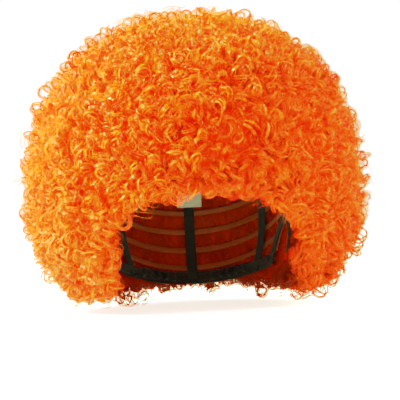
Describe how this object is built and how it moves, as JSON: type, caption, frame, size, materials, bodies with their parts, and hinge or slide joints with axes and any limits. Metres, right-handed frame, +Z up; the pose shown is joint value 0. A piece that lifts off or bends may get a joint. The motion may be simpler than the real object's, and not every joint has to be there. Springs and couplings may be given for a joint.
{
  "type": "curly wig",
  "caption": "Round curly costume wig: rows of ringlet weft on a stretch cap with crown net, straps, folding ear tabs and hook-and-loop-ladder nape adjusters.",
  "frame": {"origin": "centre of the head cavity on the mid-plane, 96.5 mm below the outside of the cap's crown", "axes": "+Z up, -Y out of the face opening (front), +X towards the wearer's left"},
  "size_m": [0.278, 0.278, 0.231],
  "materials": {
    "hair": "glossy synthetic fibre, curled",
    "weft_header": "machine-sewn fibre ends",
    "strap_elastic": "woven elastic, matt",
    "net": "open knitted net",
    "tape": "woven binding tape",
    "felt": "felted fibre",
    "tab_fabric": "two layers of woven cloth",
    "thread": "dense stitching",
    "loop_tape": "woven tape with loops",
    "nape_elastic": "flat braided elastic",
    "tongue_plastic": "moulded, smooth",
    "label_satin": "satin, blank"
  },
  "bodies": {
    "cap": {"adjuster_elastic_left": "nape_elastic", "adjuster_elastic_right": "nape_elastic", "bar_tacks": "thread", "crown_net": "net", "crown_patch": "felt", "crown_ring_tape": "tape", "ear_binding_left": "tape", "ear_binding_right": "tape", "front_band": "tape", "hair_crown": "hair", "hair_fringe": "hair", "hair_lobe_left": "hair", "hair_lobe_right": "hair", "hair_row_01": "hair", "hair_row_02": "hair", "hair_row_03": "hair", "hair_row_04": "hair", "hair_row_05": "hair", "hair_row_06": "hair", "hair_row_07": "hair", "hair_row_08": "hair", "hair_row_09": "hair", "hair_row_10": "hair", "hair_row_11": "hair", "loop_ladder_left": "loop_tape", "loop_ladder_right": "loop_tape", "nape_band": "tape", "strap_back_centre": "strap_elastic", "strap_back_left": "strap_elastic", "strap_back_right": "strap_elastic", "strap_side_left": "strap_elastic", "strap_side_right": "strap_elastic", "strap_temple_left": "strap_elastic", "strap_temple_right": "strap_elastic", "weft_ear_left": "weft_header", "weft_ear_right": "weft_header", "weft_front": "weft_header", "weft_nape": "weft_header", "weft_row_01": "weft_header", "weft_row_02": "weft_header", "weft_row_03": "weft_header", "weft_row_04": "weft_header", "weft_row_05": "weft_header", "weft_row_06": "weft_header", "weft_row_07": "weft_header", "weft_row_08": "weft_header", "weft_row_09": "weft_header"},
    "ear_tab_left": {"ear_tab_left": "tab_fabric"},
    "ear_tab_right": {"ear_tab_right": "tab_fabric"},
    "adjuster_left": {"adjuster_tongue_left": "tongue_plastic"},
    "adjuster_right": {"adjuster_tongue_right": "tongue_plastic"},
    "care_label": {"care_label": "label_satin"}
  },
  "joints": [
    {"name": "ear_tab_left_fold", "type": "hinge", "parent": "cap", "child": "ear_tab_left", "pos_m": [0.0742, -0.02608, -0.0072], "axis": [0.2188, 0.9758, 0], "range_deg": [0, 100]},
    {"name": "ear_tab_right_fold", "type": "hinge", "parent": "cap", "child": "ear_tab_right", "pos_m": [-0.0742, -0.02608, -0.0072], "axis": [0.2188, -0.9758, 0], "range_deg": [0, 100]},
    {"name": "adjuster_left_slide", "type": "slide", "parent": "cap", "child": "adjuster_left", "axis": [0.8605, -0.4706, 0.195], "range_m": [-0.0075, 0.015], "deforming": ["adjuster_elastic_left"]},
    {"name": "adjuster_right_slide", "type": "slide", "parent": "cap", "child": "adjuster_right", "axis": [-0.8605, -0.4706, 0.195], "range_m": [-0.0075, 0.015], "deforming": ["adjuster_elastic_right"]},
    {"name": "care_label_turn", "type": "hinge", "parent": "cap", "child": "care_label", "pos_m": [0, 0.0866, 0.038], "axis": [1, 0, 0], "range_deg": [-75, 0]}
  ]
}
